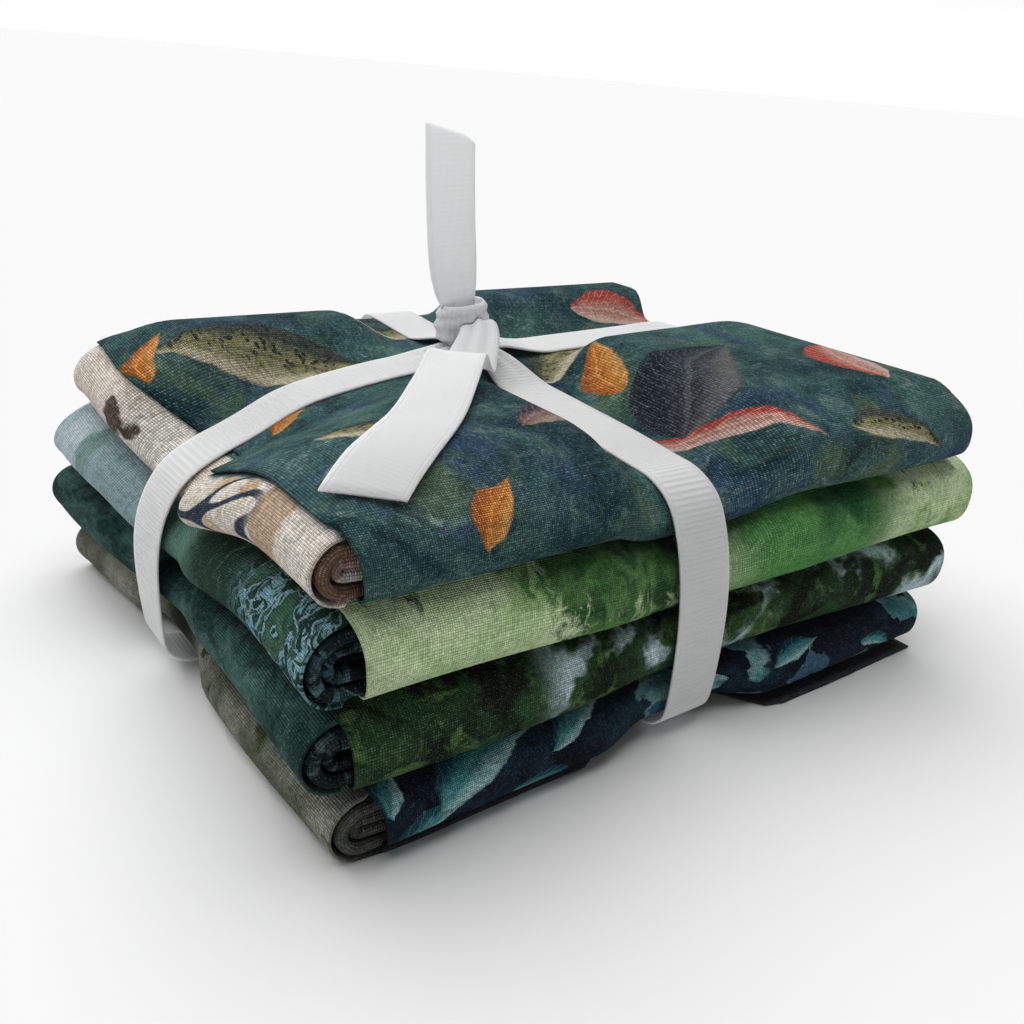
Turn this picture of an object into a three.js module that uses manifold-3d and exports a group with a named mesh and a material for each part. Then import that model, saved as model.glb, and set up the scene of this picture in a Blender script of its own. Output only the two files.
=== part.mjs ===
// Fat quarter bundle: four folded quilting cottons in a stack, tied both ways with grosgrain ribbon.
// Millimetres, +Z up. The origin is the centre of the base; X is the long side of the stack, the
// rolled folds are at -X and the smooth wrapped faces at -Y.
//
// Each cloth is one sheet. It is folded first to and fro across its depth (along Y) into five layers,
// then in half along X, so that its layers are nested in a roll at the left. A last layer, the cover,
// lies over them, turns down over the front and is tucked under there.
// The stack is worked out flat and square, and one smooth settling of the whole stack then presses it
// in under the ribbon, so that neighbouring layers keep their order.
import * as THREE from 'three';
import { mergeVertices } from 'three/addons/utils/BufferGeometryUtils.js';
import Module from 'manifold-3d';

const SHEET = { thick: 1.0, pitch: 1.25, layers: 5, apart: 0.9 };        // apart: between two pieces
const WRAP = { start: -59, depth: 7, tuck: 3, squareness: 0.82 };         // the cover's turn at the front
// The layers' ends at the front: the outer one's and the others' step back under the wrap, the lowest
// one's, each layer's step in the roll, and how far from the roll that changes
const FRONT = { end: -62.4, outer: 3.4, inner: 0.4, lowest: 6.6, inRoll: 0.35, change: 7 };
const PIECES = [
  // left, right, front, back: ends of the folded piece; eye: radius of its innermost fold;
  // wave, phase: unevenness of its edges; at the back of the roll, sag is the share by which it is
  // flattened, lean how far it reaches out, more so at the foot by droop, and drop how far it sinks;
  // ledge: how far the lowest layer reaches past the others at the front
  { name: 'cloth_bottom', left: -81, right: 73, front: -1.2, back: 62, eye: 0.6, wave: 1.1, phase: 3.1,
    sag: 0.0, lean: 4.0, droop: 0.0, drop: 0.0, ledge: 4.2, color: 0x1d2a33 },
  { name: 'cloth_third', left: -84.5, right: 75, front: -0.6, back: 64, eye: 1.2, wave: 1.2, phase: 1.2,
    sag: 0.1, lean: 3.5, droop: 0.0, drop: -0.5, ledge: -6.6, color: 0x2c4238 },
  { name: 'cloth_second', left: -85.5, right: 80, front: -1.8, back: 64, eye: 1.8, wave: 1.0, phase: 4.4,
    sag: 0.18, lean: 0.5, droop: 5.0, drop: 0.0, ledge: -6.6, color: 0x7f9a72 },
  { name: 'cloth_top', left: -84.5, right: 76, front: 0.8, back: 62, eye: 0.6, wave: 0.9, phase: 2.0,
    sag: 0.0, lean: -2.0, droop: 0.0, drop: 2.6, ledge: -6.6, color: 0x2a4e55 },
];
const TOP = PIECES.length - 1;
let stacked = 0;
for (const piece of PIECES) {
  piece.radius = piece.eye + (SHEET.layers - 1) * SHEET.pitch;            // outermost fold, mid-sheet
  piece.mid = SHEET.thick / 2 + piece.radius;                             // height of the roll's centre
  piece.cover = piece.mid + piece.radius + SHEET.pitch;                   // mid-sheet height of the cover
  piece.base = stacked;
  stacked += piece.cover + SHEET.thick / 2 + SHEET.apart;
}
const STACK = stacked - SHEET.apart;                                      // height before settling

const RIBBON = { width: 12.7, thick: 1.0, clear: 0.7, color: 0xe4e6e9 };
const BAND_X = -2;                                                        // band from front to back
const BAND_Y = { knot: 18, slope: 0.09 };                                 // band from left to right
const PRESS = {
  flat: 9, wide: 24,                        // from a band's middle: fully pressed in, and not any more
  lee: 30,                                  // how much wider that is in front of the other band's left end
  along: 5.2, tilt: 0.05,                   // depth under the front-to-back band, less towards the back
  across: 3.0, drop: 8,                     // depth under the other band, and how far it drops at the left
  side: 1.0, brim: 11.5, foot: 3.0,         // how far the sides are drawn in all over, at the top, below
  crown: 3.4, slump: 3.0, groove: RIBBON.thick + RIBBON.clear,
};

const clamp = THREE.MathUtils.clamp;
const smooth = (t) => { const c = clamp(t, 0, 1); return c * c * (3 - 2 * c); };
const bandY = (x) => BAND_Y.knot + BAND_Y.slope * (x - BAND_X);

// ---- settling of the whole stack --------------------------------------------------------------

// 1 under a band, 0 away from it: a straight ramp for the lower pieces, a soft one at the top
const ramp = (d, wide = PRESS.wide) => clamp((wide - d) / (wide - PRESS.flat), 0, 1);

function settle(p) {
  const up = clamp(p.z / STACK, 0, 1.1);
  const soft = smooth((p.z - PIECES[TOP].base) / PIECES[TOP].cover);
  const pick = (d, wide) => THREE.MathUtils.lerp(ramp(d, wide), smooth(ramp(d, wide)), soft);
  const a = pick(Math.abs(p.x - BAND_X));
  const b = pick(Math.abs(p.y - bandY(p.x)));
  const both = 1 - (1 - a) * (1 - b);
  // the other band's valley runs out wider towards the front left
  const left = clamp((-p.x - 10) / 60, 0, 1.3), ahead = bandY(p.x) - p.y;
  const flank = pick(Math.abs(ahead), PRESS.wide + PRESS.lee * smooth(left) * smooth(ahead / 12));
  const free = (1 - a) * (1 - flank);
  const endX = smooth((Math.abs(p.x) - 60) / 26);
  const endY = smooth((Math.abs(p.y) - 42) / 24);
  // top pressed in under the bands, more so at the front and most at the left edge
  const right = smooth((p.x + 20) / 40), back = smooth((p.y + 20) / 40);
  const along = PRESS.along - PRESS.tilt * p.y;
  const across = PRESS.across + PRESS.drop * Math.pow(left, 1.8);
  const press = (a * along * (1 - flank / 2) + flank * across * (1 - a / 2)) * Math.pow(up, 1.5);
  const rim = Math.max(smooth((Math.abs(p.x) - 66) / 18) * (1 - 0.6 * right),
    smooth((Math.abs(p.y) - 50) / 16) * (1 - 0.5 * back));
  const crown = (PRESS.crown + 1.6 * right) * free * (1 - 0.9 * rim) * up;
  const low = 1 + 0.5 * back - (0.7 + 0.5 * back) * right;      // the back left corner slumps most
  const slump = PRESS.slump * low * Math.max(endX, endY) * free * up * up;
  const roll = 0.5 * Math.sin(p.x / 24 + p.y / 37 + 0.8) * Math.sin(Math.PI * Math.min(up, 1));
  const groove = PRESS.groove * both * clamp(1 - p.z / PIECES[1].base, 0, 1);
  // sides drawn in by the bands, most at the brim
  const drawn = PRESS.side + PRESS.brim * Math.pow(up, 3.5) + PRESS.foot * Math.pow(1 - Math.min(up, 1), 4);
  const inX = b * smooth((Math.abs(p.x) - 44) / 40) * (1 - 0.5 * right);
  const inY = a * smooth((Math.abs(p.y) - 28) / 38) * (1 - 0.5 * back);
  const x = p.x - Math.sign(p.x) * drawn * inX + 0.9 * Math.sin(p.y / 27 + p.z / 13) * endX;
  const y = p.y - Math.sign(p.y) * drawn * inY + 0.9 * Math.sin(p.x / 33 + p.z / 15) * endY;
  return new THREE.Vector3(x, y, p.z - press + crown - slump + roll + groove);
}

// ---- one folded cloth ---------------------------------------------------------------------------

// Columns along X and rows along Y are the same for every piece, so that layers lie on each other.
// The top piece has some more of each.
function columns(piece, fine) {
  const { flat, wide } = PRESS;
  const inner = fine
    ? [-62, -40, BAND_X - wide, BAND_X - flat, BAND_X + flat, BAND_X + wide, 55, 69]
    : [-48, BAND_X - wide, BAND_X - flat, BAND_X + flat, BAND_X + wide, 62];
  return [piece.left + piece.mid, ...inner, piece.right];
}

function rows(from, to, x, fine) {
  const y = bandY(x), { flat, wide } = PRESS;
  const near = [y - wide, y - flat, y + flat, y + wide];
  return fine ? [from, (WRAP.start + y - wide) / 2, ...near, to] : [from, ...near, to];
}

// The folds met along the sheet's length: the cover from left to right, its turn at the right, the
// upper half back to the left, the roll, and the lower half.
function lengthwise(piece, fine) {
  const cols = columns(piece, fine);
  const arc = (part, n) => Array.from({ length: n - 1 }, (_, i) => ({ part, angle: Math.PI * (i + 1) / n }));
  return [
    ...cols.map((x, i) => ({ part: 'cover', x, edge: i === 0 })),
    ...arc('turn', 3),
    ...cols.map((x) => ({ part: 'upper', x })).reverse(),
    ...arc('roll', 5),
    ...cols.map((x) => ({ part: 'lower', x })),
  ];
}

// The folds met across it: the wrap at the front, then the five layers joined by turns at the back
// and the front.
function crosswise(fine) {
  const rowCount = rows(0, 0, 0, fine).length;
  const list = [{ part: 'wrap', turn: 1, tuck: WRAP.tuck }];
  const steps = fine ? 8 : 6;
  for (let i = 0; i < steps; i++) list.push({ part: 'wrap', turn: 1 - i / steps, tuck: 0 });
  for (let k = 0; k < SHEET.layers; k++) {
    const order = Array.from({ length: rowCount }, (_, r) => (k % 2 ? rowCount - 1 - r : r));
    for (const row of order) list.push({ part: 'layer', layer: k, row });
    const n = k % 2 ? 3 : 2;
    if (k < SHEET.layers - 1) {
      for (let i = 1; i < n; i++) list.push({ part: 'bend', layer: k, angle: Math.PI * i / n });
    }
  }
  return list;
}

// Where a layer ends at the front: the outer layer steps back under the wrap, but not in the roll.
function frontEnd(piece, layer, s) {
  const { end, outer, inner, lowest, change } = FRONT;
  const inRoll = s.part === 'roll' ? 1 : smooth((piece.left + piece.mid + change - s.x) / change);
  const reach = (lowest + piece.ledge) * (0.7 + 0.3 * smooth((s.x + 20) / 40));
  const ledge = lowest - reach * (1 - ramp(Math.abs(s.x - BAND_X)));
  const back = layer === 0 ? (s.part === 'lower' ? ledge : outer) : inner;
  return end + back * (1 - inRoll) + FRONT.inRoll * layer * inRoll;
}
const backEnd = (piece, layer) => piece.back - (layer === 4 ? 3 : 0.5 * Math.floor((layer + 1) / 2));

// One point of the sheet before settling; side is +1 or -1, and +1 faces inwards on the cover.
function clothPoint(piece, s, u, side, fine) {
  const { pitch, thick } = SHEET, w = side * thick / 2;
  const roll = piece.left + piece.mid;
  let y, depth;                                       // depth is counted inwards from the outer layer
  if (u.part === 'layer') {
    const x = s.part === 'roll' || s.x === undefined ? (s.part === 'turn' ? piece.right : roll) : s.x;
    const end = s.part === 'cover' || s.part === 'turn' ? WRAP.start : frontEnd(piece, u.layer, s);
    y = rows(end, backEnd(piece, u.layer), x, fine)[u.row];
    depth = u.layer * pitch + (u.layer % 2 ? w : -w);
  } else if (u.part === 'bend') {
    const r = pitch / 2 + (u.layer % 2 ? -w : w);
    const atBack = u.layer % 2 === 0;
    const end = atBack ? backEnd(piece, u.layer) : frontEnd(piece, u.layer, s);
    y = end + (atBack ? 1 : -1) * r * Math.sin(u.angle);
    depth = (u.layer + 0.5) * pitch - r * Math.cos(u.angle);
  }
  if (s.part === 'cover') {
    const lean = s.edge ? 1.2 * Math.sin(y === undefined ? -2 : y / 15 + piece.phase) - 0.6 : 0;
    if (u.part === 'layer') return new THREE.Vector3(s.x + lean, y, piece.cover - w);
    const angle = Math.PI * u.turn, q = WRAP.squareness;
    const cos = Math.cos(angle), sin = Math.sin(angle);
    const foot = thick / 2 + (piece.ledge > 0 ? pitch : 0), half = (piece.cover - foot) / 2;
    const slant = s.edge ? lean + 3.4 * u.turn : 0;
    return new THREE.Vector3(
      s.x + slant,
      WRAP.start + u.tuck - (WRAP.depth - w) * Math.pow(Math.abs(sin), q),
      foot + half + (half - w) * Math.sign(cos) * Math.pow(Math.abs(cos), q));
  }
  if (s.part === 'turn') {
    const r = pitch / 2 - w;
    const z = piece.cover - pitch / 2 + r * Math.cos(s.angle);
    return new THREE.Vector3(piece.right + r * Math.sin(s.angle), y, z);
  }
  const r = piece.radius - depth;
  if (s.part === 'roll') {
    return new THREE.Vector3(roll - r * Math.sin(s.angle), y, piece.mid + r * Math.cos(s.angle));
  }
  const past = s.x === piece.right ? -0.7 * u.layer : 0;
  return new THREE.Vector3(s.x + past, y, piece.mid + (s.part === 'upper' ? r : -r));
}

// Unevenness of one piece: its front, its roll and its height wander a little.
function unevenness(piece, p) {
  const front = smooth((-p.y - 46) / 16) * (1 - ramp(Math.abs(p.x - BAND_X)));
  const left = smooth((-p.x - 62) / 20), back = (p.y + 10) / 70;
  const y = p.y + front * (piece.front + piece.wave * Math.sin(p.x / 21 + piece.phase));
  const lean = piece.lean + piece.droop * (0.5 - p.z / (2 * piece.mid));
  const x = p.x + left * (piece.wave * 0.7 * Math.sin(p.y / 17 + 2 * piece.phase) - lean * smooth(back));
  const flattened = 1 - piece.sag * left * smooth((p.y - 2) / 30);
  const z = p.z * flattened - piece.drop * left * smooth((p.y + 10) / 60);
  return new THREE.Vector3(x, y, z + piece.base);
}

function foldedCloth(piece) {
  const fine = piece === PIECES[TOP];
  const along = lengthwise(piece, fine), across = crosswise(fine);
  const firstLayer = across.findIndex((u) => u.part === 'layer');
  const firstBend = across.findIndex((u) => u.part === 'bend');
  const firstTurn = along.findIndex((s) => s.part === 'turn');
  const firstUpper = along.findIndex((s) => s.part === 'upper');
  const isSheet = (i, j) => (i >= firstUpper ? j >= firstLayer
    : j < firstBend - 1 && (j >= firstLayer || i < firstTurn - 1));
  const place = (i, j, side) =>
    settle(unevenness(piece, clothPoint(piece, along[i], across[j], side, fine)));
  return sheetGeometry(along.length - 1, across.length - 1, isSheet, place);
}

// ---- sheets and strips --------------------------------------------------------------------------

// Closed solid of a sheet: the cells (i, j) where isSheet holds, with two sides and walls all round.
function sheetGeometry(ni, nj, isSheet, place) {
  const points = [], index = [], seen = new Map();
  const vertex = (i, j, side) => {
    const key = `${i} ${j} ${side}`;
    if (!seen.has(key)) {
      seen.set(key, points.length);
      points.push(place(i, j, side));
    }
    return seen.get(key);
  };
  const inside = (i, j) => i >= 0 && j >= 0 && i < ni && j < nj && isSheet(i, j);
  const quad = (a, b, c, d) => {
    // split along the same diagonal of the plan in every layer
    const rise = (m, n) => Math.abs(points[m].x - points[n].x + points[m].y - points[n].y);
    if (rise(a, c) >= rise(b, d)) index.push(a, b, c, a, c, d);
    else index.push(b, c, d, b, d, a);
  };
  for (let i = 0; i < ni; i++) {
    for (let j = 0; j < nj; j++) {
      if (!inside(i, j)) continue;
      for (const side of [1, -1]) {
        const corners = [[i, j], [i + 1, j], [i + 1, j + 1], [i, j + 1]];
        const [a, b, c, d] = corners.map(([m, n]) => vertex(m, n, side));
        if (side > 0) quad(a, b, c, d);
        else quad(a, d, c, b);
      }
      const edges = [[i, j - 1, i, j, i + 1, j], [i + 1, j, i + 1, j, i + 1, j + 1],
        [i, j + 1, i + 1, j + 1, i, j + 1], [i - 1, j, i, j + 1, i, j]];
      for (const [oi, oj, i0, j0, i1, j1] of edges) {
        if (inside(oi, oj)) continue;
        quad(vertex(i1, j1, 1), vertex(i0, j0, 1), vertex(i0, j0, -1), vertex(i1, j1, -1));
      }
    }
  }
  return outward(points, index);
}

function signedVolume(points, index) {
  let sum = 0;
  for (let k = 0; k < index.length; k += 3) {
    const [a, b, c] = [0, 1, 2].map((m) => points[index[k + m]]);
    sum += a.dot(new THREE.Vector3().crossVectors(b, c)) / 6;
  }
  return sum;
}

function outward(points, index) {
  if (signedVolume(points, index) < 0) {
    for (let k = 0; k < index.length; k += 3) [index[k], index[k + 1]] = [index[k + 1], index[k]];
  }
  const geometry = new THREE.BufferGeometry();
  const places = points.flatMap((p) => [p.x, p.y, p.z]);
  geometry.setAttribute('position', new THREE.Float32BufferAttribute(places, 3));
  geometry.setIndex(index);
  return geometry;
}

// ---- ribbon -------------------------------------------------------------------------------------

const RIBBON_GAP = RIBBON.clear + RIBBON.thick / 2;         // from the cloth to the ribbon's middle
const GATHER = { near: 5, far: 22, width: 8, rise: 3 };    // towards the knot the bands narrow and rise

// Closed path round a box of half-turned corners: [across, height] pairs with even steps.
function loopPath(low, high, leftX, rightTop, rightMid, rightLow, radius, rightRadius) {
  const shape = new THREE.Shape();
  shape.moveTo(leftX + radius, high);
  shape.lineTo(rightTop - rightRadius, high);
  shape.quadraticCurveTo(rightTop, high, rightTop, high - rightRadius);
  shape.lineTo(rightMid, (low + 3 * high) / 4);
  shape.lineTo(rightLow, low + rightRadius);
  shape.quadraticCurveTo(rightLow, low, rightLow - rightRadius, low);
  shape.lineTo(leftX + radius, low);
  shape.quadraticCurveTo(leftX, low, leftX, low + radius);
  shape.lineTo(leftX, high - radius);
  shape.quadraticCurveTo(leftX, high, leftX + radius, high);
  return shape;
}

function band(shape, lift, toPoint) {
  const path = shape.curves.flatMap((c) =>
    c.getPoints(c.isLineCurve ? Math.ceil(c.getLength() / 8) : 4).slice(1));
  const steps = path.length;
  const nearKnot = (x, y, z) => (z < STACK * 0.8 ? 0
    : 1 - smooth((Math.hypot(x - BAND_X, y - BAND_Y.knot) - GATHER.near) / (GATHER.far - GATHER.near)));
  const place = (i, j, side) => {
    const p = path[i % steps], q = path[(i + 1) % steps], o = path[(i + steps - 1) % steps];
    const t = new THREE.Vector2(q.x - o.x, q.y - o.y).normalize();
    const off = lift + side * RIBBON.thick / 2;
    const near = nearKnot(...toPoint(p.x, p.y, 0));
    const wide = THREE.MathUtils.lerp(RIBBON.width, GATHER.width, near);
    const [x, y, z] = toPoint(p.x - t.y * off, p.y + t.x * off + GATHER.rise * near, (j - 1) / 2 * wide);
    return settle(new THREE.Vector3(x, y, z));
  };
  return ringGeometry(steps, 2, place);
}

// A closed ring of ribbon: as a sheet, but its last step joins its first.
function ringGeometry(steps, nj, place) {
  const points = [], index = [];
  for (let i = 0; i < steps; i++) {
    for (const side of [1, -1]) for (let j = 0; j <= nj; j++) points.push(place(i, j, side));
  }
  const at = (i, j, side) => (i % steps) * 2 * (nj + 1) + (side > 0 ? 0 : nj + 1) + j;
  const quad = (a, b, c, d) => index.push(a, b, c, a, c, d);
  for (let i = 0; i < steps; i++) {
    for (let j = 0; j < nj; j++) {
      quad(at(i, j, 1), at(i + 1, j, 1), at(i + 1, j + 1, 1), at(i, j + 1, 1));
      quad(at(i, j, -1), at(i, j + 1, -1), at(i + 1, j + 1, -1), at(i + 1, j, -1));
    }
    quad(at(i, 0, -1), at(i + 1, 0, -1), at(i + 1, 0, 1), at(i, 0, 1));
    quad(at(i, nj, 1), at(i + 1, nj, 1), at(i + 1, nj, -1), at(i, nj, -1));
  }
  return outward(points, index);
}

// A strip along a smooth path. Rows: x, y, height above the ribbon's layer on the cloth, width,
// thickness, and the direction of the width in degrees about Z; slant shifts the cut at the end.
const TOP_LAYER = STACK + RIBBON_GAP;
const STRIPS = {
  standing: {
    steps: 12, cut: -4, rows: [
      [-4.5, 19, 4, 8, 1.8, 0], [-5.4, 20, 10, 9, 1.7, -1], [-6.1, 21.2, 16.5, 11.5, 1.2, -2],
      [-7.0, 21.9, 24, 12.7, 1.0, -2], [-7.5, 22.3, 32, 12.7, 1.0, -2], [-8.1, 22.7, 42, 12.7, 1.0, -2],
      [-8.5, 23, 50.5, 12.7, 1.0, -2]],
  },
  lying: {
    steps: 18, cut: -4.6, rows: [
      [-3.5, 17, 7, 8, 1.8, -38], [-7, 10.5, 7.6, 9, 1.5, -42], [-14, 2.5, 5.4, 11, 1.2, -44],
      [-25.5, -9.5, 3.0, 12.7, 1.0, -46], [-37, -23.5, 1.8, 12.7, 1, -48], [-51, -39, 1.1, 12.7, 1, -50],
      [-70.5, -54.5, 1.1, 12.7, 1, -52]],
  },
  knotOver: {
    steps: 10, cut: 0, rows: [
      [-15, 17, 0.6, 8, 1.4, 97], [-10, 17.5, 5, 8.5, 4.5, 98], [-4.5, 19, 9.8, 9, 8, 100],
      [1, 19, 5, 8.5, 5, 98], [7, 19, 0.6, 8, 1.4, 97]],
  },
  knotUnder: {
    steps: 10, cut: 0, rows: [
      [-2.5, 7, 0.6, 8, 1.4, -2], [-3, 12, 4.4, 9, 4.5, -8], [-4.5, 19, 6.5, 10, 8, -14],
      [-3, 25, 4.4, 9, 4.5, -8], [-2.5, 30, 0.6, 8, 1.4, -2]],
  },
};

function strip({ steps, cut, rows: table }) {
  const places = table.map(([x, y, h]) => new THREE.Vector3(x, y, h));
  const curve = new THREE.CatmullRomCurve3(places, false, 'centripetal');
  const column = (c, t) => {
    const at = t * (table.length - 1), k = Math.min(Math.floor(at), table.length - 2);
    return THREE.MathUtils.lerp(table[k][c], table[k + 1][c], at - k);
  };
  const place = (i, j, side) => {
    const t = i / steps, half = column(3, t) / 2;
    const angle = THREE.MathUtils.degToRad(column(5, t));
    const dir = new THREE.Vector3(Math.cos(angle), Math.sin(angle), 0);
    const tangent = curve.getTangent(t);
    const normal = new THREE.Vector3().crossVectors(tangent, dir).normalize();
    const thick = column(4, t) * (j === 1 ? 1 : RIBBON.thick / column(4, t));
    // the two edges settle, and the strip lies straight between them, clear of the cloth's rise
    const at = (v) => {
      const slant = v * 0.5 * cut * Math.pow(t, 6);
      const p = curve.getPoint(t).addScaledVector(dir, v * half).addScaledVector(tangent, slant);
      return settle(p.setZ(p.z + TOP_LAYER));
    };
    const [low, mid, high] = [-1, 0, 1].map(at);
    const p = low.clone().lerp(high, j / 2);
    p.z += Math.max(0, mid.z - (low.z + high.z) / 2);
    return p.addScaledVector(normal, side * thick / 2);
  };
  return sheetGeometry(steps, 2, () => true, place);
}

function ribbonGeometry(wasm) {
  const { left, right } = PIECES[TOP];
  const reach = -(WRAP.start - WRAP.depth - SHEET.thick / 2) + 1.9;
  const round = loopPath(0, STACK, -reach, reach, reach, reach, 7, 4);
  const mid = PIECES[TOP - 1].right + 2.8, low = PIECES[0].right + 6.6;
  const along = loopPath(0, STACK, left - 2.2, right + 3.8, mid, low, 7, 1.5);
  const frontBack = band(round, RIBBON_GAP, (y, z, side) => [BAND_X + side, y, z]);
  const leftRight = band(along, RIBBON_GAP + 0.03, (x, z, side) => [x, bandY(x) + side, z]);
  const solids = [frontBack, leftRight, ...Object.values(STRIPS).map(strip)].map((g) => toManifold(wasm, g));
  const whole = solids.reduce((sum, solid) => sum.add(solid));
  return fromManifold(whole);
}

function toManifold(wasm, geometry) {
  const bare = mergeVertices(geometry, 1e-4);
  return new wasm.Manifold(new wasm.Mesh({
    numProp: 3,
    vertProperties: new Float32Array(bare.attributes.position.array),
    triVerts: new Uint32Array(bare.index.array),
  }));
}

function fromManifold(solid) {
  const mesh = solid.getMesh();
  const geometry = new THREE.BufferGeometry();
  geometry.setAttribute('position', new THREE.Float32BufferAttribute(mesh.vertProperties, mesh.numProp));
  geometry.setIndex(Array.from(mesh.triVerts));
  return geometry;
}

// ---- the bundle ---------------------------------------------------------------------------------

const wasm = await Module();
wasm.setup();

const group = new THREE.Group();
function addPiece(name, geometry, color) {
  const material = new THREE.MeshStandardMaterial({ color, roughness: 0.92, metalness: 0 });
  const mesh = new THREE.Mesh(geometry, material);
  mesh.name = name;
  group.add(mesh);
}
for (const piece of PIECES) addPiece(piece.name, foldedCloth(piece), piece.color);
addPiece('ribbon', ribbonGeometry(wasm), RIBBON.color);

const middle = new THREE.Box3().setFromObject(group).getCenter(new THREE.Vector3());
group.position.set(-middle.x, -middle.y, 0);

export default group;
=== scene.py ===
"""Fat quarter bundle: four folded printed quilting cottons in a stack, tied both ways with grosgrain.

Sizes here are in millimetres until a mesh is made. Every cloth is worked out as one flat sheet with two
flat coordinates, s along its length and u across it. The sheet is folded to and fro across its depth,
then in half along X, and its cover is wrapped over the front. One settling of the whole stack follows,
which presses it in under the ribbon.
"""
import math

import bpy
import numpy as np
from mathutils import Matrix, Vector


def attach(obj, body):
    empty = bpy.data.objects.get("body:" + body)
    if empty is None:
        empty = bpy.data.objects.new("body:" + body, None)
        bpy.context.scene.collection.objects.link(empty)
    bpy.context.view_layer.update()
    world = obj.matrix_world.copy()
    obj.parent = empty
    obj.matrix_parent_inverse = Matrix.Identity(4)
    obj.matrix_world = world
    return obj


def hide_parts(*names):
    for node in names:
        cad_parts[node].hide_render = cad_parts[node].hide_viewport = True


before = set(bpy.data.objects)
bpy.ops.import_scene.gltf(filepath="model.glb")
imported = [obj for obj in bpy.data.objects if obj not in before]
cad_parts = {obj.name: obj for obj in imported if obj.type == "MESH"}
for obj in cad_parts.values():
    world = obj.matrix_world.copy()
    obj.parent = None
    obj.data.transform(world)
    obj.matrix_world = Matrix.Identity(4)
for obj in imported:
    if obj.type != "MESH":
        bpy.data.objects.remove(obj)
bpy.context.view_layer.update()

MM = 0.001
MIDDLE = np.array([-2.994, 0.491, 0.0])          # centre of the footprint, taken off every point

# ---- sizes of the stack, the same as the solids' -------------------------------------------------

LAYER, PITCH, LAYERS, APART = 1.0, 1.25, 5, 0.9  # height of a layer, its step, their number, gap of pieces
WRAP_START, WRAP_DEPTH, WRAP_TUCK, WRAP_SQUARE = -59.0, 7.0, 3.0, 0.82
CLOTH_THICK = 0.42                                  # of the cloth as it shows
THREAD = 0.44                                       # from one thread to the next
RIBBON_WIDE, RIBBON_THICK = 12.7, 0.5
BAND_X, BAND_Y, BAND_SLOPE = -2.0, 18.0, 0.09
FLAT, WIDE, LEE = 9.0, 24.0, 30.0                   # from a band's middle: fully pressed in, not any more,
                                                    # and how much wider that is at the front left
ALONG, TILT = 5.2, 0.05                             # depth under the front-to-back band, less at the back
ACROSS, DROP = 3.0, 8.0                             # depth under the other band, and its drop at the left
SIDE, BRIM, FOOT = 1.0, 11.5, 3.0                   # how far the sides are drawn in all over, at top, below
CROWN, SLUMP, GROOVE = 3.4, 3.0, 1.7                # rise between the bands, droop of rims, ribbon's groove

# The layers' ends at the front: the outer one's and the others' step back under the wrap, the lowest
# one's, each layer's step in the roll, and how far from the roll that changes
FRONT_END, FRONT_OUTER, FRONT_INNER, FRONT_LOWEST = -62.4, 3.4, 0.4, 6.6
FRONT_IN_ROLL, FRONT_CHANGE = 0.35, 7.0

# left, right, front, back: ends of the folded piece; eye: radius of its innermost fold; wave, phase:
# unevenness of its edges; at the back of the roll, sag is the share by which it is flattened, lean how
# far it reaches out, more so at the foot by droop, and drop how far it sinks; ledge: how far the lowest
# layer reaches past the others at the front
PIECES = [
    dict(name="cloth_bottom", left=-81, right=73, front=-1.2, back=62, eye=0.6, wave=1.1, phase=3.1,
         sag=0.0, lean=4.0, droop=0.0, drop=0.0, ledge=4.2, slot="cotton_navy"),
    dict(name="cloth_third", left=-84.5, right=75, front=-0.6, back=64, eye=1.2, wave=1.2, phase=1.2,
         sag=0.1, lean=3.5, droop=0.0, drop=-0.5, ledge=-6.6, slot="cotton_forest"),
    dict(name="cloth_second", left=-85.5, right=80, front=-1.8, back=64, eye=1.8, wave=1.0, phase=4.4,
         sag=0.18, lean=0.5, droop=5.0, drop=0.0, ledge=-6.6, slot="cotton_sage"),
    dict(name="cloth_top", left=-84.5, right=76, front=0.8, back=62, eye=0.6, wave=0.9, phase=2.0,
         sag=0.0, lean=-2.0, droop=0.0, drop=2.6, ledge=-6.6, slot="cotton_teal"),
]
height = 0.0
for piece in PIECES:
    piece["radius"] = piece["eye"] + (LAYERS - 1) * PITCH
    piece["mid"] = LAYER / 2 + piece["radius"]
    piece["cover"] = piece["mid"] + piece["radius"] + PITCH
    piece["base"] = height
    height += piece["cover"] + LAYER / 2 + APART
STACK = height - APART


def smooth(t):
    """3 t^2 - 2 t^3, held at 0 and 1."""
    c = np.clip(t, 0, 1)
    return c * c * (3 - 2 * c)


def ramp(d, wide=WIDE):
    """1 under a band and 0 away from it, for a distance d from its middle."""
    return np.clip((wide - d) / (wide - FLAT), 0, 1)


def band_y(x):
    """The left-to-right band's line: a straight, slightly slanted line in plan."""
    return BAND_Y + BAND_SLOPE * (x - BAND_X)


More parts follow.
